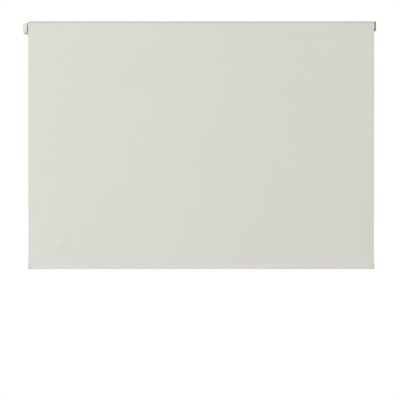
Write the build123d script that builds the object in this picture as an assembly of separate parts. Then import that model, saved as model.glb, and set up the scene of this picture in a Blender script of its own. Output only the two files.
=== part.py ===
from build123d import *
import math
import os

# Spring-driven roller blind for a wall: two screwed brackets carry a steel tube with the cloth
# wound on it. The cloth comes over the front of the roll and hangs to a weighted hem.
# Millimetres. The wall is the plane y = 0 and the room is towards -Y, with +X to the right for
# someone facing the wall and +Z up. The origin is in the middle of the four screw holes, level
# with the roller's axis.

# Driving dimensions
cloth_width = 1400.0
hem_bottom = -986.0
axis_y = -44.0
cloth_thickness = 0.4
tube_r = 16.0
tube_wall = 1.0
roll_inner_r = 16.3
roll_outer_r = 20.0
running_gap = 0.3

# Screw holes, the same height on both brackets
hole_x = 690.0
hole_z = 12.5
hole_r = 2.25
screw_head_r = 4.6

# Sheet-steel brackets
steel = 2.0
left_arm_x = -717.0
left_flange_end_x = -680.0
left_flange_bottom = -24.0
left_flange_top = 19.0
left_arm_bottom = -24.6
left_arm_top = 4.6
left_arm_front = -57.0
left_nose_r = 13.0
right_arm_x = 707.2
right_flange_end_x = 678.0
right_arm_front = -63.7
right_arm_top = 19.5
right_arm_bottom = -20.0
right_corner_r = 9.0

# Moulded cover over the left bracket
cover_wall = 2.0
cover_outer_x = -722.0
cover_inner_x = -705.8
cover_front = -60.0
cover_top = 9.9
cover_bottom = -27.6
cover_nose_r = 16.0
cover_corner_r = 10.4
cover_rim_r = 2.0
skirt_outer_x = -719.5
skirt_end_x = -676.0
skirt_front = -5.0
skirt_wall = 1.4
skirt_top = 22.4
skirt_bottom = -26.6
skirt_outer_r = 7.0
skirt_inner_r = 5.0

# Spindle, with a flat tang that drops into the left bracket's slot
spindle_r = 3.0
tang_height = 6.0
tang_thickness = 3.0
tang_end_x = -719.5
tang_root_x = -705.0
spindle_end_x = -168.0
slot_clearance = 0.1
bushing_hole_r = 2.6
bushing_hole_circle_r = 9.5
fit_gap = 0.02
turn_gap = 0.1

# End caps pressed into the tube
flange_r = 17.5
flange_thickness = 3.0
spigot_length = 40.0

# Ratchet and its two pawls, in the recess of the spring end cap
recess_r = 13.0
recess_depth = 7.0
ratchet_r = 6.0
ratchet_from_x = -701.4
ratchet_thickness = 3.8
pivot_r = 10.0
pawl_length = 7.62
pawl_half_width = 0.8
pawl_boss_r = 2.2
pawl_pin_r = 1.2
pawl_rest_deg = -128.8
pawl_swing_deg = 22.0
pawl_play = 0.25

# Torsion spring over the spindle, drawn as the sleeve that its coils fill
spring_inner_r = 5.8
spring_outer_r = 7.2
spring_from_x = -659.5
spring_to_x = -190.0

# Sprung pin at the right end
pin_r = 2.5
pin_tip_x = 709.2
pin_collar_r = 4.5
pin_stem_r = 1.5
pin_bore_r = 4.6
bush_flange_r = 10.0
bush_flange_thickness = 1.2
pin_spring_inner_r = 3.2
pin_spring_outer_r = 3.9
pin_spring_from_x = 665.2

# Hem pocket and the flat bar in it
pocket_height = 20.0
pocket_depth = 3.8
bar_height = 17.4
bar_thickness = 2.4
cap_plate = 0.5
cap_spigot = 8.0

half = cloth_width / 2
wrap_inner_r = roll_outer_r + running_gap
wrap_outer_r = wrap_inner_r + cloth_thickness
cloth_front = axis_y - wrap_outer_r
pocket_top = hem_bottom + pocket_height
tube_inner_r = tube_r - tube_wall


def write(shape, node, colour):
    """One named sub-part, written to its own file."""
    shape.label = node
    shape.color = Color(colour)
    export_step(shape, f"parts/{node}.step")


def block(x_from, x_to, y_from, y_to, z_from, z_to):
    """A box between pairs of coordinates."""
    size = Box(abs(x_to - x_from), abs(y_to - y_from), abs(z_to - z_from))
    return Pos((x_from + x_to) / 2, (y_from + y_to) / 2, (z_from + z_to) / 2) * size


def round_bar(radius, x_from, x_to, y=axis_y, z=0.0):
    """A solid cylinder along X."""
    middle = Pos((x_from + x_to) / 2, y, z)
    return middle * Rot(0, 90, 0) * Cylinder(radius, abs(x_to - x_from))


def ring(outer, inner, x_from, x_to):
    """A sleeve along X about the roller's axis."""
    return round_bar(outer, x_from, x_to) - round_bar(inner, x_from - 1, x_to + 1)


def side_outline(front, bottom, top, nose_r):
    """An arm seen from the side, as a face across X: square on the wall, one round lower nose."""
    edges = [
        Line((0, bottom), (0, top)),
        Line((0, top), (front, top)),
        Line((front, top), (front, bottom + nose_r)),
        RadiusArc((front, bottom + nose_r), (front + nose_r, bottom), -nose_r),
        Line((front + nose_r, bottom), (0, bottom)),
    ]
    return make_face(edges)


def across(face, x_from, x_to):
    """A face drawn in (y, z), made solid from one x to another."""
    plane = Plane(origin=(x_from, 0, 0), x_dir=(0, 1, 0), z_dir=(1, 0, 0))
    return extrude(plane * face, amount=x_to - x_from, dir=(1, 0, 0))


def screw_holes(x, radius):
    """The drills for one bracket's two wall screws."""
    drills = [Pos(x, 0, z) * Rot(90, 0, 0) * Cylinder(radius, 30) for z in (-hole_z, hole_z)]
    return drills[0] + drills[1]


def left_bracket():
    """Bent sheet: a wall flange and an arm with the open slot that takes the tang."""
    outline = side_outline(left_arm_front, left_arm_bottom, left_arm_top, left_nose_r)
    arm = across(outline, left_arm_x, left_arm_x + steel)
    flange = block(
        left_arm_x, left_flange_end_x, -steel, 0, left_flange_bottom, left_flange_top
    )
    corners = flange.edges().filter_by(Axis.Y).sort_by(Axis.X)
    top_outer = corners[:2].sort_by(Axis.Z)[-1]
    flange = fillet([*corners[2:], top_outer], 4)
    half_slot = tang_thickness / 2 + slot_clearance
    slot_bottom = -tang_height / 2 - slot_clearance
    slot = block(
        left_arm_x - 1,
        left_arm_x + steel + 1,
        axis_y - half_slot,
        axis_y + half_slot,
        slot_bottom,
        left_arm_top + 1,
    )
    return arm + flange - slot - screw_holes(-hole_x, hole_r)


def round_skirt(skirt, inner_radius, outer_radius):
    """Rounds a block's two corners nearer the middle of the blind, and its top outer corner."""
    corners = skirt.edges().filter_by(Axis.Y).sort_by(Axis.X)
    skirt = fillet(corners[2:], inner_radius)
    top_outer = skirt.edges().filter_by(Axis.Y).sort_by(Axis.X)[:2].sort_by(Axis.Z)[-1]
    return fillet(top_outer, outer_radius)


def left_bracket_cover():
    """Thin moulded shell: a round-nosed hood over the arm and a low skirt over the flange."""
    outline = side_outline(cover_front, cover_bottom, cover_top, cover_nose_r)
    hood = across(outline, cover_outer_x, cover_inner_x)
    top_outer = hood.edges().filter_by(Axis.Y).sort_by(Axis.Z)[-2:].sort_by(Axis.X)[0]
    hood = fillet(top_outer, cover_corner_r)
    rim = hood.faces().sort_by(Axis.X)[0].edges().filter_by(
        lambda e: e.center().Y < -1.0 and e.center().Z < cover_top - cover_corner_r - 0.1
    )
    hood = fillet(rim, cover_rim_r)
    inside = side_outline(
        cover_front + cover_wall,
        cover_bottom + cover_wall,
        cover_top - cover_wall,
        cover_nose_r - cover_wall,
    )
    cavity = across(inside, cover_outer_x + cover_wall, cover_inner_x - cover_wall)
    cavity_top = cavity.edges().filter_by(Axis.Y).sort_by(Axis.Z)[-2:].sort_by(Axis.X)[0]
    cavity = fillet(cavity_top, cover_corner_r - cover_wall)
    skirt = block(skirt_outer_x, skirt_end_x, skirt_front, 0, skirt_bottom, skirt_top)
    skirt = round_skirt(skirt, skirt_inner_r, skirt_outer_r)
    hollow = block(
        skirt_outer_x + skirt_wall,
        skirt_end_x - skirt_wall,
        skirt_front + skirt_wall,
        0.5,
        skirt_bottom + skirt_wall,
        skirt_top - skirt_wall,
    )
    hollow = round_skirt(hollow, skirt_inner_r - skirt_wall, skirt_outer_r - skirt_wall)
    slot_half = tang_thickness / 2 + 5 * slot_clearance
    slot = block(
        left_arm_x - 3,
        cover_inner_x + 1,
        axis_y - slot_half,
        axis_y + slot_half,
        -tang_height / 2 - 5 * slot_clearance,
        cover_top + 1,
    )
    return hood + skirt - cavity - hollow - slot - screw_holes(-hole_x, screw_head_r)


def right_bracket():
    """Bent sheet with a round-cornered arm, bored for the bush."""
    inner_x = right_arm_x - steel
    arm = block(inner_x, right_arm_x, right_arm_front, 0, right_arm_bottom, right_arm_top)
    arm = fillet(arm.edges().filter_by(Axis.X).sort_by(Axis.Y)[:2], right_corner_r)
    flange = block(
        right_flange_end_x, right_arm_x, -steel, 0, right_arm_bottom, right_arm_top
    )
    flange = fillet(flange.edges().filter_by(Axis.Y).sort_by(Axis.X)[:2], 4)
    bore = round_bar(pin_collar_r, inner_x - 1, right_arm_x + 1)
    return arm + flange - bore - screw_holes(hole_x, hole_r)


def pin_bush():
    """Nylon bush snapped into the right bracket, with a wide flange on the roller's side."""
    seat_x = right_arm_x - steel
    face_x = seat_x - bush_flange_thickness
    sleeve = ring(pin_collar_r - fit_gap, pin_r + turn_gap, face_x, right_arm_x)
    flange = ring(bush_flange_r, pin_r + turn_gap, face_x, seat_x)
    return sleeve + flange


def spindle_rod():
    """Steel rod that never turns, flattened to a tang, with a clip groove at its far end."""
    rod = round_bar(spindle_r, tang_root_x, spindle_end_x)
    tang = block(
        tang_end_x,
        tang_root_x,
        axis_y - tang_thickness / 2,
        axis_y + tang_thickness / 2,
        -tang_height / 2,
        tang_height / 2,
    )
    tang = tang & round_bar(spindle_r, tang_end_x, tang_root_x)
    groove = ring(spindle_r + 1, spindle_r - 0.5, spindle_end_x - 2.6, spindle_end_x - 1.6)
    return rod + tang - groove


def pivot_at(side):
    """Where one pawl's pin stands, as (y, z): side 1 towards the wall, -1 towards the room."""
    return axis_y + side * pivot_r, 0.0


def pawl(side):
    """A small lever that hangs on its pin, with its tip clear of the ratchet."""
    y, z = pivot_at(side)
    x_from = ratchet_from_x + 0.2
    x_to = x_from + ratchet_thickness - 0.4
    boss = round_bar(pawl_boss_r, x_from, x_to, y, z)
    tip_r = pawl_half_width
    reach = pawl_length - tip_r
    direction = math.radians(pawl_rest_deg + (0 if side > 0 else 180))
    tip_y = y + reach * math.cos(direction)
    tip_z = z + reach * math.sin(direction)
    tip = round_bar(tip_r, x_from, x_to, tip_y, tip_z)
    middle = Pos((x_from + x_to) / 2, (y + tip_y) / 2, (z + tip_z) / 2)
    beam = middle * Rot(math.degrees(direction), 0, 0) * Box(x_to - x_from, reach, 2 * tip_r)
    bore = round_bar(pawl_pin_r + 0.05, x_from - 1, x_to + 1, y, z)
    return boss + beam + tip - bore


def ratchet_wheel():
    """Disc fixed on the spindle, with one notch for each pawl: a ramp that ends in a square face."""
    x_to = ratchet_from_x + ratchet_thickness
    wheel = ring(ratchet_r, spindle_r + fit_gap, ratchet_from_x, x_to)
    reach = pawl_length + pawl_play
    for side in (1, -1):
        y, z = pivot_at(side)
        engaged = pawl_rest_deg - pawl_swing_deg + (0 if side > 0 else 180)
        sweep = round_bar(reach, ratchet_from_x - 1, x_to + 1, y, z)
        depth = 20.0
        lower = -pawl_half_width - pawl_play
        room = Pos((ratchet_from_x + x_to) / 2, y, z) * Rot(engaged, 0, 0)
        room = room * Pos(0, reach / 2, lower + depth / 2)
        wheel = wheel - (sweep & (room * Box(ratchet_thickness + 2, reach + 2, depth)))
    return wheel


def spring_end_cap():
    """Cap pressed into the tube's left end: ratchet recess outside, spring seat inside."""
    face_x = -half - flange_thickness
    body = round_bar(flange_r, face_x, -half)
    body = fillet(body.edges().filter_by(GeomType.CIRCLE).sort_by(Axis.X)[0], 0.8)
    body += round_bar(tube_inner_r - fit_gap, -half, -half + spigot_length)
    body += round_bar(
        spring_inner_r - turn_gap, -half + spigot_length, -half + spigot_length + 15
    )
    recess = round_bar(recess_r, face_x - 1, face_x + recess_depth)
    bore = round_bar(spindle_r + turn_gap, face_x - 1, -half + spigot_length + 20)
    pins = pawl_pins()
    return body - recess - bore - pins


def pawl_pins():
    """The two short pins that the pawls turn on."""
    x_from = ratchet_from_x - 0.4
    x_to = -half - flange_thickness + recess_depth + 3
    pair = [round_bar(pawl_pin_r, x_from, x_to, *pivot_at(side)) for side in (1, -1)]
    return pair[0] + pair[1]


def ratchet_cover():
    """Thin disc that shuts the pawls in."""
    face_x = -half - flange_thickness
    return ring(recess_r - fit_gap, spindle_r + 0.3, face_x, face_x + 1)


def drive_spring():
    """Torsion spring, hooked to the end cap at the left and to the anchor at the right."""
    return ring(spring_outer_r, spring_inner_r, spring_from_x, spring_to_x)


def spring_anchor():
    """Collar pinned on the spindle, which holds the still end of the spring."""
    seat = ring(
        spring_inner_r - turn_gap, spindle_r + fit_gap, spring_to_x - 10, spring_to_x
    )
    collar = ring(
        spring_outer_r + 0.5, spindle_r + fit_gap, spring_to_x + 0.5, spring_to_x + 9
    )
    neck = ring(spring_inner_r - turn_gap, spindle_r + fit_gap, spring_to_x, spring_to_x + 1)
    return seat + neck + collar


def spindle_bushing():
    """Nylon wheel pressed in the tube, which runs on the spindle's far end."""
    x_from = spindle_end_x - 11
    x_to = spindle_end_x - 3
    wheel = ring(tube_inner_r - fit_gap, spindle_r + turn_gap, x_from, x_to)
    count = 6
    for k in range(count):
        angle = 2 * math.pi * k / count
        y = axis_y + bushing_hole_circle_r * math.cos(angle)
        z = bushing_hole_circle_r * math.sin(angle)
        wheel = wheel - round_bar(bushing_hole_r, x_from - 1, x_to + 1, y, z)
    return wheel


def spindle_clip():
    """Split ring in the spindle's groove."""
    clip = ring(5.2, spindle_r - 0.45, spindle_end_x - 2.5, spindle_end_x - 1.7)
    return clip - block(spindle_end_x - 4, spindle_end_x, axis_y - 8, axis_y, -1.6, 1.6)


def idle_end_cap():
    """Cap pressed into the tube's right end, bored for the sprung pin."""
    face_x = half + flange_thickness
    body = round_bar(flange_r, half, face_x)
    body = fillet(body.edges().filter_by(GeomType.CIRCLE).sort_by(Axis.X)[-1], 0.8)
    body += round_bar(tube_inner_r - fit_gap, half - spigot_length, half)
    wide = round_bar(pin_bore_r, half - spigot_length - 1, half)
    narrow = round_bar(pin_r + turn_gap, half - 1, face_x + 1)
    return body - wide - narrow


def pin_retainer():
    """Plug that shuts the back of the pin's bore."""
    return round_bar(pin_bore_r - fit_gap, half - spigot_length + 1, pin_spring_from_x - 0.2)


def idle_pin():
    """Steel pin with a collar, and a thin stem inside its spring."""
    collar_from = half - 3.1
    shaft = round_bar(pin_r, collar_from, pin_tip_x)
    shaft = fillet(shaft.edges().filter_by(GeomType.CIRCLE).sort_by(Axis.X)[-1], 1.0)
    collar = round_bar(pin_collar_r, collar_from, half - 0.1)
    stem = round_bar(pin_stem_r, collar_from - 18, collar_from)
    return shaft + collar + stem


def idle_pin_spring():
    """Compression spring behind the pin, drawn as the sleeve that its coils fill."""
    return ring(pin_spring_outer_r, pin_spring_inner_r, pin_spring_from_x, half - 3.3)


def fabric_tape():
    """Adhesive strip that bonds the cloth's inner edge to the tube."""
    strip = ring(roll_inner_r - 0.05, tube_r, -half + 5, half - 5)
    return strip & block(-half, half, axis_y - 6, axis_y + 6, 10, 20)


def fabric_panel():
    """The hanging cloth, with its last part lying over the front and top of the roll."""
    over = ring(wrap_outer_r, wrap_inner_r, -half, half)
    back_y = axis_y + 14.0
    over = over & block(-half, half, cloth_front - 1, back_y, 0, wrap_outer_r + 1)
    sheet = block(-half, half, cloth_front, cloth_front + cloth_thickness, pocket_top, 0)
    return over + sheet


def pocket_outline(depth, height, radius, front_square):
    """The pocket's section as a face in (y, z), from its front lower corner."""
    corner = Rectangle(depth, height, align=(Align.MIN, Align.MIN))
    round_ones = corner.vertices()
    if front_square:
        round_ones = [v for v in round_ones if not (v.X < 0.01 and v.Y > height / 2)]
    return fillet(round_ones, radius)


def hem_sleeve():
    """The cloth turned back on itself at the hem, as a flat pocket."""
    outer = Pos(cloth_front, hem_bottom) * pocket_outline(pocket_depth, pocket_height, 1.7, True)
    room_depth = pocket_depth - 2 * cloth_thickness
    room_height = pocket_height - 2 * cloth_thickness
    room = Pos(cloth_front + cloth_thickness, hem_bottom + cloth_thickness)
    inner = room * pocket_outline(room_depth, room_height, 1.25, False)
    return across(outer - inner, -half, half)


def hem_insert(x_from, x_to):
    """A flat bar that lies in the middle of the pocket."""
    y = cloth_front + (pocket_depth - bar_thickness) / 2
    z = hem_bottom + (pocket_height - bar_height) / 2
    section = Pos(y, z) * pocket_outline(bar_thickness, bar_height, 1.1, False)
    return across(section, x_from, x_to)


def hem_cap(side):
    """Plug for one end of the pocket: a thin plate and a tongue."""
    near = half - cap_spigot
    outline = Pos(cloth_front, hem_bottom) * pocket_outline(
        pocket_depth, pocket_height, 1.7, False
    )
    if side > 0:
        return hem_insert(near, half) + across(outline, half, half + cap_plate)
    return hem_insert(-half, -near) + across(outline, -half - cap_plate, -half)


os.makedirs("parts", exist_ok=True)
write(left_bracket(), "left_bracket", "gray")
write(left_bracket_cover(), "left_bracket_cover", "white")
write(right_bracket(), "right_bracket", "gray")
write(pin_bush(), "pin_bush", "black")
write(spindle_rod(), "spindle_rod", "silver")
write(ratchet_wheel(), "ratchet_wheel", "gold")
write(drive_spring(), "drive_spring", "silver")
write(spring_anchor(), "spring_anchor", "tan")
write(spindle_clip(), "spindle_clip", "black")
write(ring(roll_outer_r, roll_inner_r, -half, half), "fabric_roll", "ivory")
write(ring(tube_r, tube_inner_r, -half + 0.05, half - 0.05), "roller_tube", "silver")
write(spring_end_cap(), "spring_end_cap", "darkgray")
write(ratchet_cover(), "ratchet_cover", "darkgray")
write(pawl_pins(), "pawl_pins", "silver")
write(spindle_bushing(), "spindle_bushing", "tan")
write(idle_end_cap(), "idle_end_cap", "darkgray")
write(pin_retainer(), "pin_retainer", "darkgray")
write(idle_pin_spring(), "idle_pin_spring", "silver")
write(fabric_tape(), "fabric_tape", "khaki")
write(pawl(1), "pawl_a", "silver")
write(pawl(-1), "pawl_b", "silver")
write(idle_pin(), "idle_pin", "silver")
write(fabric_panel(), "fabric_panel", "ivory")
write(hem_sleeve(), "hem_sleeve", "ivory")
write(hem_insert(-half + cap_spigot + 0.5, half - cap_spigot - 0.5), "hem_bar", "silver")
write(hem_cap(-1), "hem_cap_left", "white")
write(hem_cap(1), "hem_cap_right", "white")
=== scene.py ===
import math

import bpy
import numpy as np
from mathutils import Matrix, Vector


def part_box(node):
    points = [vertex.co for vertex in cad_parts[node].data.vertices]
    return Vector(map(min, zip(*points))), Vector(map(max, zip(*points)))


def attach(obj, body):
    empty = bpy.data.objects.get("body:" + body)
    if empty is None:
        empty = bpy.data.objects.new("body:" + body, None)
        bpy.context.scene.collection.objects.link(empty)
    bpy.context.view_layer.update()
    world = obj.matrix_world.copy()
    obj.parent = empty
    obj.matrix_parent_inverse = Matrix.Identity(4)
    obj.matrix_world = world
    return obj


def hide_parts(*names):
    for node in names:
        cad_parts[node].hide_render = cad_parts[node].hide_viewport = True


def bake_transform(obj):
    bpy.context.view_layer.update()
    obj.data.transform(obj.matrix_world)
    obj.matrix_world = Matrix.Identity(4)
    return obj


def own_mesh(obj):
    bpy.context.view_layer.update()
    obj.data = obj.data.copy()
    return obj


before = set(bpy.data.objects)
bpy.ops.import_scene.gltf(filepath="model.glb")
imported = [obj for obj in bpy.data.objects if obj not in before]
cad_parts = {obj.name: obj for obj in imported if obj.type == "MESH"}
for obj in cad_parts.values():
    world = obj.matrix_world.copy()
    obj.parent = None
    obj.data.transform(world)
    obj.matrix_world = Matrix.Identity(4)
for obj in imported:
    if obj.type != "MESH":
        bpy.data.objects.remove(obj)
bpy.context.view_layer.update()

# ---------------------------------------------------------------------------------------------
# The room: even white light, with a broad soft lamp out to the left and nothing close behind the
# blind, and a pale floor well below. The eye is level with the lower half of the cloth and looks
# straight at the wall, so the cloth's edges run straight up and down.

cloth_front_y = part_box("fabric_panel")[0].y
eye_distance = 4.0
eye_view_width = 1.618
eye_x = -0.0049
eye_z = -0.7062
sensor_side = 0.036
light_all_round = 0.52
white_seen = 1.0
floor_z = -2.35
floor_half_width = 4.0
floor_front_y = -4.5
floor_back_y = 3.0


def point_at(thing, target):
    """Turns a lamp or the camera so that its -Z axis runs to the target."""
    thing.rotation_euler = (Vector(target) - thing.location).to_track_quat("-Z", "Y").to_euler()


def soft_lamp(name, place, target, side, power, tint):
    """A square area lamp."""
    light = bpy.data.lights.new(name, "AREA")
    light.size = side
    light.energy = power
    light.color = tint
    lamp = bpy.data.objects.new(name, light)
    bpy.context.scene.collection.objects.link(lamp)
    lamp.location = place
    point_at(lamp, target)


camera = bpy.data.objects.new("camera", bpy.data.cameras.new("camera"))
bpy.context.scene.collection.objects.link(camera)
camera.location = (eye_x, cloth_front_y - eye_distance, eye_z)
camera.rotation_euler = (math.pi / 2, 0, 0)
camera.data.sensor_width = sensor_side * 1000
camera.data.lens = sensor_side * 1000 * eye_distance / eye_view_width
bpy.context.scene.camera = camera
bpy.context.scene.view_settings.view_transform = "Standard"
bpy.context.scene.view_settings.look = "None"

middle_of_cloth = (0.0, cloth_front_y, -0.5)
middle_of_wall = (0.0, 0.0, 0.0)
left_place, fill_place, behind_place = (-3.2, -3.6, 0.3), (1.7, -4.4, 0.3), (0.0, 1.6, 1.5)
soft_lamp("window_light", left_place, middle_of_cloth, side=2.6, power=82.5, tint=(1.0, 1.0, 0.985))
soft_lamp("front_fill", fill_place, middle_of_cloth, side=3.0, power=43.5, tint=(1.0, 1.0, 0.99))
soft_lamp("high_behind", behind_place, middle_of_wall, side=1.6, power=26.0, tint=(1.0, 1.0, 1.0))

world = bpy.data.worlds.new("studio")
bpy.context.scene.world = world
world.use_nodes = True
sky = world.node_tree.nodes
sky.clear()
seen_ray = sky.new("ShaderNodeLightPath")
even_light = sky.new("ShaderNodeBackground")
even_light.inputs["Color"].default_value = (1.0, 1.0, 1.0, 1.0)
even_light.inputs["Strength"].default_value = light_all_round
white_behind = sky.new("ShaderNodeBackground")
white_behind.inputs["Color"].default_value = (1.0, 1.0, 1.0, 1.0)
white_behind.inputs["Strength"].default_value = white_seen
either = sky.new("ShaderNodeMixShader")
sky_out = sky.new("ShaderNodeOutputWorld")
join = world.node_tree.links.new
join(seen_ray.outputs["Is Camera Ray"], either.inputs[0])
join(even_light.outputs[0], either.inputs[1])
join(white_behind.outputs[0], either.inputs[2])
join(either.outputs[0], sky_out.inputs[0])


class Field:
    """One value or colour that varies over a surface. Arithmetic on it adds Math nodes."""

    def __init__(self, finish, socket):
        self.finish = finish
        self.socket = socket

    def math(self, operation, first, second=0.0):
        return self.finish.add("ShaderNodeMath", {"operation": operation}, {0: first, 1: second})

    def __add__(self, other):
        return self.math("ADD", self, other)

    def __sub__(self, other):
        return self.math("SUBTRACT", self, other)

    def __rsub__(self, other):
        return self.math("SUBTRACT", other, self)

    def __mul__(self, other):
        return self.math("MULTIPLY", self, other)

    def __truediv__(self, other):
        return self.math("DIVIDE", self, other)

    def __rtruediv__(self, other):
        return self.math("DIVIDE", other, self)

    __radd__ = __add__
    __rmul__ = __mul__

    def sine(self):
        return self.math("SINE", self)

    def size(self):
        return self.math("ABSOLUTE", self)

    def root(self):
        return self.math("SQRT", self)

    def step(self, low, high):
        """0 below low, 1 above high, and an S-shaped rise between."""
        settings = {"interpolation_type": "SMOOTHSTEP"}
        return self.finish.add("ShaderNodeMapRange", settings, {0: self, 1: low, 2: high})


class Finish:
    """A material being made: nodes go in with add(), and close() gives it its surface."""

    def __init__(self, name):
        self.material = bpy.data.materials.new(name)
        self.material.use_nodes = True
        self.tree = self.material.node_tree
        self.tree.nodes.clear()

    def add(self, kind, settings=None, values=None, output=0):
        """One node: its settings first, then the values or links of its sockets."""
        node = self.tree.nodes.new(kind)
        for name, value in (settings or {}).items():
            setattr(node, name, value)
        for name, value in (values or {}).items():
            if isinstance(value, Field):
                self.tree.links.new(value.socket, node.inputs[name])
            else:
                node.inputs[name].default_value = value
        return Field(self, node.outputs[output])

    def place(self):
        """Where a point of the piece is, in metres."""
        return self.add("ShaderNodeTexCoord", output="Object")

    def along(self, axis, vector):
        """One coordinate of a vector."""
        return self.add("ShaderNodeSeparateXYZ", None, {0: vector}, axis)

    def scaled(self, vector, factors):
        """A vector with each coordinate multiplied, which squeezes a pattern along that axis."""
        settings = {"operation": "MULTIPLY"}
        return self.add("ShaderNodeVectorMath", settings, {0: vector, 1: factors})

    def noise(self, vector, scale, detail=2.0, rough=0.5):
        """Cloudy noise from 0 to 1, even in all directions."""
        values = {"Vector": vector, "Scale": scale, "Detail": detail, "Roughness": rough}
        return self.add("ShaderNodeTexNoise", None, values)

    def shade(self, factor, low, high):
        """A colour between two others, by a factor from 0 to 1. Either may itself vary."""
        low, high = (tone if isinstance(tone, Field) else (*tone, 1.0) for tone in (low, high))
        return self.add("ShaderNodeMix", {"data_type": "RGBA"}, {0: factor, 6: low, 7: high}, 2)

    def close(self, colour, roughness, height=None, depth=0.0, **constants):
        """The surface: constants go on the shader's own sockets, and height raises a bump."""
        surface = self.tree.nodes.new("ShaderNodeBsdfPrincipled")
        for name, value in constants.items():
            surface.inputs[name.replace("_", " ")].default_value = value
        self.tree.links.new(colour.socket, surface.inputs["Base Color"])
        self.tree.links.new(roughness.socket, surface.inputs["Roughness"])
        if height is not None:
            bump = self.add("ShaderNodeBump", None, {"Height": height, "Distance": depth})
            self.tree.links.new(bump.socket, surface.inputs["Normal"])
        out = self.tree.nodes.new("ShaderNodeOutputMaterial")
        self.tree.links.new(surface.outputs[0], out.inputs[0])
        return self.material


def floor_finish():
    """Pale sealed screed with faint clouding."""
    finish = Finish("pale_floor")
    place = finish.place()
    cloud = finish.noise(place, 1.3, 4.0)
    grain = finish.noise(place, 240.0, 2.0)
    colour = finish.shade(cloud, (0.80, 0.80, 0.79), (0.86, 0.86, 0.85))
    return finish.close(colour, 0.55 + grain * 0.1, grain, 0.0002)


floor_mesh = bpy.data.meshes.new("floor")
floor_corners = [
    (-floor_half_width, floor_front_y, floor_z),
    (floor_half_width, floor_front_y, floor_z),
    (floor_half_width, floor_back_y, floor_z),
    (-floor_half_width, floor_back_y, floor_z),
]
floor_mesh.from_pydata(floor_corners, [], [(0, 1, 2, 3)])
floor = bpy.data.objects.new("floor", floor_mesh)
bpy.context.scene.collection.objects.link(floor)
floor_mesh.materials.append(floor_finish())

# ---------------------------------------------------------------------------------------------
# The wall brackets, one at each end: two-millimetre steel sheet, punched, bent to an L and
# powder coated light grey. Screw heads have rubbed a bright ring round each wall hole.

screw_x = 0.690
screw_z = 0.0125
screw_head_r = 0.0042
flange_middle_y = -0.001


def paint_node(node, material):
    """Gives a carried-over part its finish."""
    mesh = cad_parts[node].data
    mesh.materials.clear()
    mesh.materials.append(material)


def powder_coat(name, dark, light):
    """Baked powder: a soft orange-peel skin, with faint rings where the screws bear. A ring is
    whole within 0.2 mm of the screw head's rim and gone at 1.1 mm, on the room side only."""
    finish = Finish(name)
    place = finish.place()
    x = finish.along(0, place).size() - screw_x
    z = finish.along(2, place).size() - screw_z
    from_hole = (x * x + z * z).root()
    off_rim_mm = ((from_hole - screw_head_r) * 1000).size()
    ring = 1.0 - off_rim_mm.step(0.2, 1.1)
    wall_side = finish.along(1, place).step(flange_middle_y - 0.0003, flange_middle_y + 0.0003)
    streaks = finish.noise(place, 900.0, 3.0, 0.7).step(0.35, 0.7)
    rubbed = ring * (1.0 - wall_side) * streaks
    peel = finish.noise(place, 1100.0, 2.0, 0.45)
    cloud = finish.noise(place, 35.0, 3.0)
    colour = finish.shade(cloud, dark, light)
    colour = finish.shade(rubbed * 0.7, colour, (0.62, 0.62, 0.61))
    roughness = 0.42 + cloud * 0.12 - rubbed * 0.12
    return finish.close(colour, roughness, peel, 0.00008)


bracket_coat = powder_coat("bracket_powder_coat", (0.30, 0.30, 0.293), (0.345, 0.345, 0.337))
paint_node("left_bracket", bracket_coat)
paint_node("right_bracket", bracket_coat)

# ---------------------------------------------------------------------------------------------
# The cover over the left bracket: a thin injection-moulded shell in warm white, with a
# round-nosed hood over the arm and a low skirt over the flange. It clips on before screwing.

hood_top = 0.0099
dust_fade = 0.0004
clean_by_wall = (-0.009, -0.007)


def moulded(name, dark, light, rough, grain_size=2600.0, dust_above=None):
    """Moulded plastic: spark-eroded grain, faint flow clouding, and a little dust where the piece
    reaches above dust_above, away from the wall."""
    finish = Finish(name)
    place = finish.place()
    grain = finish.noise(place, grain_size, 2.0, 0.6)
    cloud = finish.noise(place, 60.0, 3.0, 0.55)
    handled = finish.noise(place, 210.0, 4.0, 0.65).step(0.45, 0.75)
    colour = finish.shade(cloud * 0.8 + grain * 0.2, dark, light)
    if dust_above:
        high = finish.along(2, place).step(dust_above - dust_fade, dust_above)
        near_wall = finish.along(1, place).step(*clean_by_wall)
        dust = high * (1.0 - near_wall) * handled
        colour = finish.shade(dust * 0.35, colour, (0.62, 0.60, 0.56))
    return finish.close(colour, rough + handled * 0.12 + grain * 0.06, grain, 0.00003)


cover_white = (0.72, 0.71, 0.685), (0.77, 0.76, 0.735)
cover_plastic = moulded("cover_plastic", *cover_white, 0.38, dust_above=hood_top - 0.0001)
paint_node("left_bracket_cover", cover_plastic)

# ---------------------------------------------------------------------------------------------
# The nylon pieces: the flanged bush snapped into the right bracket, the wheel that runs on the
# spindle's far end, and the collar that holds the still end of the drive spring.

nylon_black = (0.030, 0.030, 0.031), (0.045, 0.045, 0.046)
nylon = moulded("nylon", *nylon_black, 0.45, grain_size=1500.0)
for node in ("pin_bush", "spindle_bushing", "spring_anchor"):
    paint_node(node, nylon)

# ---------------------------------------------------------------------------------------------
# The still steel parts: the spindle, drawn rod with a milled tang, the ratchet wheel staked on
# it, and the split ring in its groove. With them go the pawls, their pins and the idle pin,
# which are turned or stamped from the same steel. All carry a film of oil.


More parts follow.
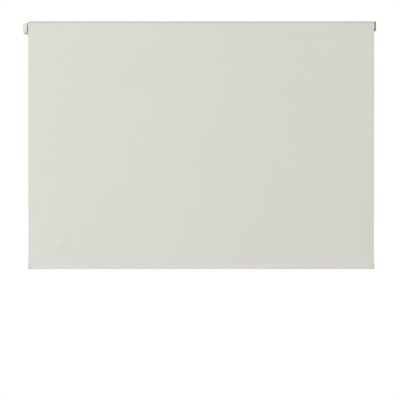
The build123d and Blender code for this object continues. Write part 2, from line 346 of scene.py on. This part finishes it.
def turned_steel(name, dark, light):
    """Bare steel: fine rings from the lathe, a film of oil, and specks of handling."""
    finish = Finish(name)
    place = finish.place()
    rings = finish.noise(finish.scaled(place, (5200.0, 260.0, 260.0)), 1.0, 3.0, 0.6)
    film = finish.noise(place, 320.0, 3.0, 0.6)
    specks = finish.noise(place, 1900.0, 2.0, 0.6).step(0.66, 0.76)
    colour = finish.shade(rings * 0.6 + film * 0.4, dark, light)
    colour = finish.shade(specks * 0.5, colour, (0.12, 0.11, 0.10))
    roughness = 0.24 + film * 0.16 + specks * 0.2
    return finish.close(colour, roughness, rings, 0.000012, Metallic=1.0)


bright_steel = turned_steel("bright_steel", (0.42, 0.42, 0.41), (0.58, 0.58, 0.57))
for node in ("spindle_rod", "ratchet_wheel", "pawl_pins", "pawl_a", "pawl_b", "idle_pin"):
    paint_node(node, bright_steel)
wire_steel = turned_steel("spring_wire", (0.10, 0.10, 0.105), (0.17, 0.17, 0.172))
paint_node("spindle_clip", wire_steel)

# ---------------------------------------------------------------------------------------------
# The two springs, wound from hard-drawn wire. The long torsion spring lies over the spindle, and
# winds up as the cloth comes down; the short one pushes the idle pin out into its bush.

tube_low, tube_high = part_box("roller_tube")
axis_y = (tube_low.y + tube_high.y) / 2
end_turn_closes = 0.45


def surface_piece(name, points, faces, material, round_off):
    """A mesh from worked-out points, smooth except where faces meet at more than round_off
    degrees."""
    mesh = bpy.data.meshes.new(name)
    mesh.from_pydata(points.tolist(), [], faces)
    mesh.polygons.foreach_set("use_smooth", np.ones(len(mesh.polygons), bool))
    mesh.set_sharp_from_angle(angle=math.radians(round_off))
    mesh.materials.append(material)
    piece = bpy.data.objects.new(name, mesh)
    bpy.context.scene.collection.objects.link(piece)
    return piece


def tube_along(line, radius, sides):
    """Points and faces of a round wire: a circle of points is carried along the line, square to
    it, and each end is closed with a flat face. The circle starts from the direction that is
    square to both the line and the coil's axis."""
    ahead = np.gradient(line, axis=0)
    ahead /= np.linalg.norm(ahead, axis=1, keepdims=True)
    upright = np.cross(ahead, np.array([1.0, 0.0, 0.0]))
    upright /= np.linalg.norm(upright, axis=1, keepdims=True)
    aside = np.cross(ahead, upright)
    turn = np.arange(sides) * 2 * np.pi / sides
    circle = (
        upright[:, None, :] * np.cos(turn)[None, :, None]
        + aside[:, None, :] * np.sin(turn)[None, :, None]
    )
    points = (line[:, None, :] + radius * circle).reshape(-1, 3)
    ring = np.arange(len(points)).reshape(len(line), sides)
    after = np.roll(ring, -1, axis=1)
    walls = np.stack([ring[:-1], after[:-1], after[1:], ring[1:]], -1).reshape(-1, 4)
    return points, walls.tolist() + [ring[0, ::-1].tolist(), ring[-1].tolist()]


def coil_line(start, end, radius, turns, per_turn):
    """A helix along X about the roller's axis: the angle grows evenly with the way along, and
    the first and last turns lie closed up against their neighbours."""
    share = np.linspace(0, 1, int(turns * per_turn) + 1)
    angle = 2 * np.pi * turns * share
    where = [0, 1, turns - 1, turns]
    closed = np.interp(share * turns, where, [0.0, end_turn_closes, 0.0, -end_turn_closes])
    pitch = (end - start) / turns
    x = start + (end - start) * share - closed * pitch
    return np.stack([x, axis_y + radius * np.cos(angle), radius * np.sin(angle)], axis=1)


def wire_coil(name, node, wire_r, pitch, per_turn, sides):
    """A coil that fills the plain sleeve it replaces, in the whole number of turns nearest to the
    pitch."""
    low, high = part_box(node)
    outer = (high.z - low.z) / 2
    turns = round((high.x - low.x - 2 * wire_r) / pitch)
    line = coil_line(low.x + wire_r, high.x - wire_r, outer - wire_r, turns, per_turn)
    points, faces = tube_along(line, wire_r, sides)
    coil = surface_piece(name, points, faces, wire_steel, round_off=75.0)
    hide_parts(node)
    return coil


drive_coil = wire_coil(
    "drive_spring_coil", "drive_spring", wire_r=0.0007, pitch=0.00156, per_turn=20, sides=6
)
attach(drive_coil, "brackets")
pin_coil = wire_coil(
    "idle_pin_spring_coil", "idle_pin_spring", wire_r=0.0003, pitch=0.0024, per_turn=28, sides=8
)
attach(pin_coil, "roller")
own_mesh(pin_coil)

# ---------------------------------------------------------------------------------------------
# The roller tube: thin steel strip rolled and seamed, then zinc plated. It carries the cloth,
# which is bonded on with a strip of adhesive film.


def zinc_plate():
    """Plated tube: long faint draw lines and pale crystal patches."""
    finish = Finish("zinc_plate")
    place = finish.place()
    lines = finish.noise(finish.scaled(place, (8.0, 1500.0, 1500.0)), 1.0, 3.0, 0.6)
    crystals = finish.add("ShaderNodeTexVoronoi", None, {"Vector": place, "Scale": 260.0})
    colour = finish.shade(lines * 0.5 + crystals * 0.5, (0.50, 0.51, 0.52), (0.66, 0.67, 0.68))
    return finish.close(colour, 0.30 + crystals * 0.2, lines, 0.00001, Metallic=1.0)


paint_node("roller_tube", zinc_plate())


def film_finish():
    """Adhesive film: honey coloured, with small trapped bubbles."""
    finish = Finish("adhesive_film")
    place = finish.place()
    bubbles = finish.noise(place, 700.0, 2.0).step(0.6, 0.72)
    colour = finish.shade(bubbles, (0.55, 0.46, 0.27), (0.68, 0.61, 0.43))
    return finish.close(colour, 0.3 + bubbles * 0.2, bubbles, 0.00004)


paint_node("fabric_tape", film_finish())

# ---------------------------------------------------------------------------------------------
# The end caps, pressed into the tube, with the thin disc that shuts the ratchet in and the plug
# behind the idle pin. They are moulded in a harder, light grey plastic.

cap_grey = (0.58, 0.58, 0.565), (0.64, 0.64, 0.625)
cap_plastic = moulded("end_cap_plastic", *cap_grey, 0.40)
for node in ("spring_end_cap", "ratchet_cover", "idle_end_cap", "pin_retainer"):
    paint_node(node, cap_plastic)

# ---------------------------------------------------------------------------------------------
# The cloth: one length of plain-woven polyester, stiffened so that its cut edges don't fray. It
# is made here in three pieces that meet: what is wound on the tube, what hangs, and the hem.

cloth_thickness = 0.00038
thread_pitch = 0.00055
cloth_shadow = (0.656, 0.646, 0.602)
cloth_light = (0.753, 0.741, 0.694)
plug_shows = (0.672, 0.690)


def cloth_finish(name, shadow, light, over_plug=None):
    """Plain weave in close threads of uneven thickness, read from the cloth's own measure: across
    and along it in metres. Each crossing lifts one thread over the other. over_plug is the tone
    that shows through at the ends of the hem, at those distances from the cloth's middle."""
    finish = Finish(name)
    flat = finish.add("ShaderNodeUVMap", {"uv_map": "cloth"})
    across = finish.along(0, flat) / thread_pitch
    along = finish.along(1, flat) / thread_pitch
    warp = (across * math.pi).sine()
    weft = (along * math.pi).sine()
    crown = warp.size() * 0.5 + weft.size() * 0.5
    over = warp * weft * 0.5 + 0.5
    warp_slub = finish.noise(finish.scaled(flat, (900.0, 16.0, 1.0)), 1.0, 3.0, 0.6)
    weft_slub = finish.noise(finish.scaled(flat, (16.0, 900.0, 1.0)), 1.0, 3.0, 0.6)
    slub = warp_slub * 0.5 + weft_slub * 0.5
    cloud = finish.noise(flat, 3.5, 3.0, 0.5)
    # Part of the tone is painted shade: the thread crowns are painted lighter and the gaps between
    # threads darker, following the weave's bump. The slub and clouding are the threads' own uneven
    # tone.
    tone = crown * 0.35 + slub * 0.45 + cloud * 0.2
    colour = finish.shade(tone, shadow, light)
    if over_plug:
        near_end = finish.along(0, flat).size().step(*plug_shows)
        colour = finish.shade(near_end * 0.6, colour, over_plug)
    height = crown * 0.55 + over * 0.15 + slub * 0.3
    return finish.close(colour, 0.82 + slub * 0.1, height, 0.00012, Specular_IOR_Level=0.25)


woven_cloth = cloth_finish("woven_cloth", cloth_shadow, cloth_light)


def length_along(path):
    """The running length of a path of points."""
    steps = np.linalg.norm(np.diff(path, axis=0), axis=1)
    return np.concatenate([[0.0], np.cumsum(steps)])


def carried_across(path, x):
    """A grid of points: its rows follow a path in (y, z), and its columns lie across it at x."""
    grid = np.zeros((len(path), len(x), 3))
    grid[:, :, 0] = x
    grid[:, :, 1:] = path[:, None, :]
    return grid


def flat_measure(path, x, used):
    """The same grid on the flat cloth: the distance across it, and the distance along it, which is
    the path's running length added to the length used before it."""
    measure = np.zeros((len(path), len(x), 2))
    measure[:, :, 0] = x
    measure[:, :, 1] = length_along(path)[:, None] + used
    return measure


def cloth_piece(name, middle, measure, cloth):
    """A sheet with two faces. middle is a grid of points, rows along the cloth and columns across
    it towards +X. Each face is the grid moved half the thickness along its normal, which is the
    cross product of the way along and the way across, and a narrow wall joins them all round.
    measure is the same grid on the flat cloth, and becomes its UV map."""
    down = np.gradient(middle, axis=0)
    across = np.gradient(middle, axis=1)
    normal = np.cross(down, across)
    normal /= np.linalg.norm(normal, axis=2, keepdims=True)
    near = (middle + normal * cloth_thickness / 2).reshape(-1, 3)
    far = (middle - normal * cloth_thickness / 2).reshape(-1, 3)
    count = len(near)
    grid = np.arange(count).reshape(middle.shape[:2])
    corners = [grid[:-1, :-1], grid[1:, :-1], grid[1:, 1:], grid[:-1, 1:]]
    front = np.stack(corners, -1).reshape(-1, 4)
    back = front[:, ::-1] + count
    edge = np.concatenate([grid[:-1, 0], grid[-1, :-1], grid[:0:-1, -1], grid[0, :0:-1]])
    onward = np.roll(edge, -1)
    wall = np.stack([onward, edge, edge + count, onward + count], -1)
    points = np.concatenate([near, far])
    faces = np.concatenate([front, back, wall])
    piece = surface_piece(name, points, faces.tolist(), cloth, round_off=50.0)
    both_faces = np.concatenate([measure.reshape(-1, 2)] * 2)
    loops = np.zeros(len(piece.data.loops), np.int32)
    piece.data.loops.foreach_get("vertex_index", loops)
    layer = piece.data.uv_layers.new(name="cloth")
    layer.data.foreach_set("uv", both_faces[loops].astype(np.float32).ravel())
    return piece


# ---------------------------------------------------------------------------------------------
# The cloth still wound on the tube: a spiral of between eight and nine turns, each lying on the
# last. The adhesive film holds its inner end, and its edges show as rings at the roll's two ends.

turn_pitch = 0.00042
roll_low, roll_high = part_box("fabric_roll")
cloth_width = roll_high.x - roll_low.x
tube_r = (tube_high.z - tube_low.z) / 2
tape_gap = 0.0003
wrap_angle = math.radians(330)
wrap_slack = 0.00003
leave_r = axis_y - cloth_front_y - cloth_thickness / 2
under_wrap_r = leave_r - cloth_thickness - wrap_slack
points_per_turn = 72


def wound_turns():
    """A spiral in (y, z): the angle runs on from where the outermost turn ends, over the top and
    round, and the radius falls by one pitch a turn."""
    inner = tube_r + tape_gap + cloth_thickness / 2
    turns = (under_wrap_r - inner) / turn_pitch
    count = int(turns * points_per_turn) + 1
    angle = wrap_angle + np.linspace(0, 2 * math.pi * turns, count)[::-1]
    radius = under_wrap_r - turn_pitch * (angle - wrap_angle) / (2 * math.pi)
    return np.stack([axis_y - radius * np.cos(angle), radius * np.sin(angle)], axis=1)


turns_path = wound_turns()
turns_length = float(length_along(turns_path)[-1])
turns_x = np.linspace(roll_low.x, roll_high.x, 13)
wound_cloth = cloth_piece(
    "wound_cloth",
    carried_across(turns_path, turns_x),
    flat_measure(turns_path, turns_x, 0.0),
    woven_cloth,
)
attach(wound_cloth, "roller")
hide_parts("fabric_roll")

# ---------------------------------------------------------------------------------------------
# The hanging cloth. Its upper end is the outermost turn on the roll; it leaves the roll at the
# front and hangs straight, kept flat by the hem bar, with a slight sway across its width, edges
# that lean back a little, and one soft diagonal crease low at the left.

hang_y = axis_y - leave_r
hang_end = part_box("hem_sleeve")[1].z
sway = 0.0009
broad_wave = 0.83
narrow_wave = 0.37
edge_lean = 0.0090
lean_reach = 0.055
crease_from = (-0.636, -0.953)
crease_to = (-0.524, -0.8195)
crease_height = 0.0042
crease_width = 0.019
wrap_points = 76
drop_points = 150
edge_band = 0.03


def hanging_path():
    """The path in (y, z), and how many of its points lie on the roll: round the roll from
    wrap_angle back to the front, then straight down to the hem."""
    angle = np.linspace(wrap_angle, 0, wrap_points)
    round_roll = leave_r * np.stack([-np.cos(angle), np.sin(angle)], axis=1) + [axis_y, 0.0]
    down = np.linspace(0, hang_end, drop_points)[1:]
    straight = np.stack([np.full_like(down, hang_y), down], axis=1)
    return np.concatenate([round_roll, straight]), len(round_roll)


def out_of_flat(x, z):
    """How far the hanging cloth stands off a plane: two waves across the width that are largest
    half-way down, edges that lean back more and more until the bar pulls them flat again, and a
    ridge along the crease that fades at its ends."""
    share = np.clip(z / hang_end, 0, 1)
    belly = np.sin(np.pi * share) ** 1.2
    waves = np.sin(2 * np.pi * x / broad_wave + 0.7)
    waves = waves + 0.5 * np.sin(2 * np.pi * x / narrow_wave + 2.2 * share)
    from_edge = cloth_width / 2 - np.abs(x)
    lean = np.exp(-from_edge / lean_reach) * share**2 * (1 - share**20)
    start = np.array(crease_from)
    run = np.array(crease_to) - start
    long = np.linalg.norm(run)
    run /= long
    along = ((x - start[0]) * run[0] + (z - start[1]) * run[1]) / long
    beside = (x - start[0]) * run[1] - (z - start[1]) * run[0]
    fade = np.clip(np.sin(np.pi * np.clip(along, 0, 1)), 0, 1) ** 0.8
    ridge = np.exp(-((beside / crease_width) ** 2)) * fade
    return edge_lean * lean - sway * belly * waves - crease_height * ridge


hang_path, on_roll = hanging_path()
hang_length = float(length_along(hang_path)[-1])
inner_x = np.linspace(-cloth_width / 2 + edge_band, cloth_width / 2 - edge_band, 205)
left_edge_x = np.linspace(-cloth_width / 2, inner_x[0], 9)[:-1]
hang_x = np.concatenate([left_edge_x, inner_x, -left_edge_x[::-1]])
hang_middle = carried_across(hang_path, hang_x)
below = hang_middle[on_roll:]
below[:, :, 1] += out_of_flat(below[:, :, 0], below[:, :, 2])
hang_measure = flat_measure(hang_path, hang_x, turns_length)
hanging_cloth = cloth_piece("hanging_cloth", hang_middle, hang_measure, woven_cloth)
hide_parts("fabric_panel")
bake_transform(hanging_cloth)
# How far each point would follow the hem as the cloth is drawn up, on both faces: nought for what
# lies on the roll, and for what hangs, its depth as a share of the hem's. The shares are only
# worked out here.
follows = np.zeros(len(hang_path))
follows[on_roll:] = hang_path[on_roll:, 1] / hang_end
follows = np.repeat(follows, len(hang_x))
follows = np.concatenate([follows, follows]).astype(np.float32)

# ---------------------------------------------------------------------------------------------
# The hem: the cloth is turned back on itself round the bar and sewn, so that the bar lies in a
# flat pocket. The pocket swells a little over the bar and again at its rounded lower edge.
# Light that would pass through one layer is sent back by two, so the hem is a shade lighter.

doubled_shadow = (0.678, 0.668, 0.622)
doubled_light = (0.778, 0.766, 0.716)
plug_tone = (0.640, 0.628, 0.588)
pocket_points = [
    (0.0, 0.0),
    (-0.0002, -0.0012),
    (-0.0006, -0.0035),
    (-0.0007, -0.0070),
    (-0.0006, -0.0102),
    (-0.0003, -0.0124),
    (0.0002, -0.0132),
    (-0.0002, -0.0140),
    (-0.0005, -0.0165),
    (-0.0001, -0.0186),
    (0.0012, -0.0198),
    (0.0024, -0.0192),
    (0.0031, -0.0168),
    (0.0034, -0.0120),
    (0.0032, -0.0062),
    (0.0022, -0.0026),
    (0.0008, -0.0006),
    (0.0004, 0.0008),
    (0.0004, 0.0036),
]


def smooth_path(points, per_span):
    """A Catmull-Rom curve through the points: on each span a cubic whose slope at a point is half
    the step between its two neighbours."""
    points = np.array(points)
    padded = np.concatenate([[2 * points[0] - points[1]], points, [2 * points[-1] - points[-2]]])
    before, start, end, after = padded[:-3], padded[1:-2], padded[2:-1], padded[3:]
    t = np.linspace(0, 1, per_span, endpoint=False)[None, :, None]
    before, start, end, after = (p[:, None, :] for p in (before, start, end, after))
    bend = 2 * before - 5 * start + 4 * end - after
    twist = 3 * start - 3 * end + after - before
    curve = 0.5 * (2 * start + (end - before) * t + bend * t**2 + twist * t**3)
    return np.concatenate([curve.reshape(-1, 2), points[-1:]])


pocket_path = smooth_path(pocket_points, per_span=5) + np.array([hang_y, hang_end])
pocket_inner_x = np.linspace(inner_x[0], inner_x[-1], 61)
pocket_x = np.concatenate([left_edge_x, pocket_inner_x, -left_edge_x[::-1]])
hem_pocket = cloth_piece(
    "hem_pocket",
    carried_across(pocket_path, pocket_x),
    flat_measure(pocket_path, pocket_x, turns_length + hang_length),
    cloth_finish("doubled_cloth", doubled_shadow, doubled_light, plug_tone),
)
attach(hem_pocket, "curtain")
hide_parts("hem_sleeve")

# ---------------------------------------------------------------------------------------------
# The seam: one row of lockstitch in polyester thread just under the top of the pocket, seen as
# short raised stitches on the front and on the back.

stitch_pitch = 0.0031
stitch_length = 0.0025
thread_r = 0.00016
seam_margin = 0.002
seam_below_top = 0.0014
front_stands_off = 0.0003
back_stands_off = 0.0017
bead_rings = 6
bead_sides = 6


def stitch_row(y, z, facing, first_point):
    """Many short threads in a row: each is a bead whose radius is the square root of one less the
    fourth power of the distance from its middle, with its middle lifted a little, and its ends
    drawn down to points in the cloth."""
    count = int((cloth_width - 2 * seam_margin) / stitch_pitch)
    centres = (np.arange(count) - (count - 1) / 2) * stitch_pitch
    share = np.linspace(0.04, 0.96, bead_rings)
    swell = thread_r * np.sqrt(1 - (2 * share - 1) ** 4)
    turn = np.arange(bead_sides) * 2 * np.pi / bead_sides
    x = np.repeat((share - 0.5) * stitch_length, bead_sides)
    lift = np.repeat(thread_r * 0.6 * np.sin(np.pi * share), bead_sides)
    out = (swell[:, None] * np.cos(turn)[None, :]).ravel() + lift
    up = (swell[:, None] * np.sin(turn)[None, :]).ravel()
    bead = np.stack([x, facing * out, up], axis=1)
    tips = np.array([[-stitch_length / 2, 0, 0], [stitch_length / 2, 0, 0]])
    first_tip = len(bead)
    bead = np.concatenate([bead, tips])
    ring = np.arange(first_tip).reshape(bead_rings, bead_sides)
    after = np.roll(ring, -1, axis=1)
    walls = np.stack([ring[:-1], ring[1:], after[1:], after[:-1]], -1).reshape(-1, 4)
    first_end = np.stack([ring[0], after[0], np.full(bead_sides, first_tip)], -1)
    last_end = np.stack([after[-1], ring[-1], np.full(bead_sides, first_tip + 1)], -1)
    ends = np.concatenate([first_end, last_end])
    seats = np.stack([centres, np.full(count, y), np.full(count, z)], axis=1)
    points = (bead[None, :, :] + seats[:, None, :]).reshape(-1, 3)
    shifts = first_point + np.arange(count)[:, None, None] * len(bead)
    walls = (walls[None] + shifts).reshape(-1, 4)[:, ::-facing]
    ends = (ends[None] + shifts).reshape(-1, 3)[:, ::-facing]
    return points, walls.tolist() + ends.tolist()


def thread_finish():
    """Twisted polyester thread: fine slanting ply lines."""
    finish = Finish("sewing_thread")
    place = finish.place()
    ply = finish.along(0, place) * 9000.0 + finish.along(2, place) * 14000.0
    twist = ply.sine() * 0.5 + 0.5
    # The colour follows the twist as painted shade: the ply crowns are painted lighter and the
    # grooves between plies darker.
    colour = finish.shade(twist, (0.60, 0.59, 0.56), (0.74, 0.73, 0.70))
    return finish.close(colour, 0.6 + twist * 0.1, twist, 0.00003)


seam_z = hang_end - seam_below_top
front_y = hang_y - cloth_thickness / 2 - front_stands_off
back_y = hang_y + cloth_thickness / 2 + back_stands_off
front_points, front_faces = stitch_row(front_y, seam_z, -1, 0)
back_points, back_faces = stitch_row(back_y, seam_z, 1, len(front_points))
seam_points = np.concatenate([front_points, back_points])
seam_faces = front_faces + back_faces
thread = thread_finish()
hem_stitches = surface_piece("hem_stitches", seam_points, seam_faces, thread, round_off=180.0)
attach(hem_stitches, "curtain")

# ---------------------------------------------------------------------------------------------
# The hem bar and its end plugs: a flat aluminium extrusion that weighs the cloth down, and a
# moulded plug in each end of the pocket, whose thin plate shows.


def extruded_aluminium():
    """Mill-finish extrusion: long die lines down its length."""
    finish = Finish("extruded_aluminium")
    place = finish.place()
    lines = finish.noise(finish.scaled(place, (5.0, 2600.0, 2600.0)), 1.0, 3.0, 0.6)
    colour = finish.shade(lines, (0.70, 0.70, 0.71), (0.80, 0.80, 0.81))
    return finish.close(colour, 0.28 + lines * 0.14, lines, 0.00001, Metallic=1.0)


paint_node("hem_bar", extruded_aluminium())
plug_beige = (0.46, 0.455, 0.435), (0.52, 0.515, 0.49)
hem_plastic = moulded("hem_plug_plastic", *plug_beige, 0.45)
paint_node("hem_cap_left", hem_plastic)
paint_node("hem_cap_right", hem_plastic)
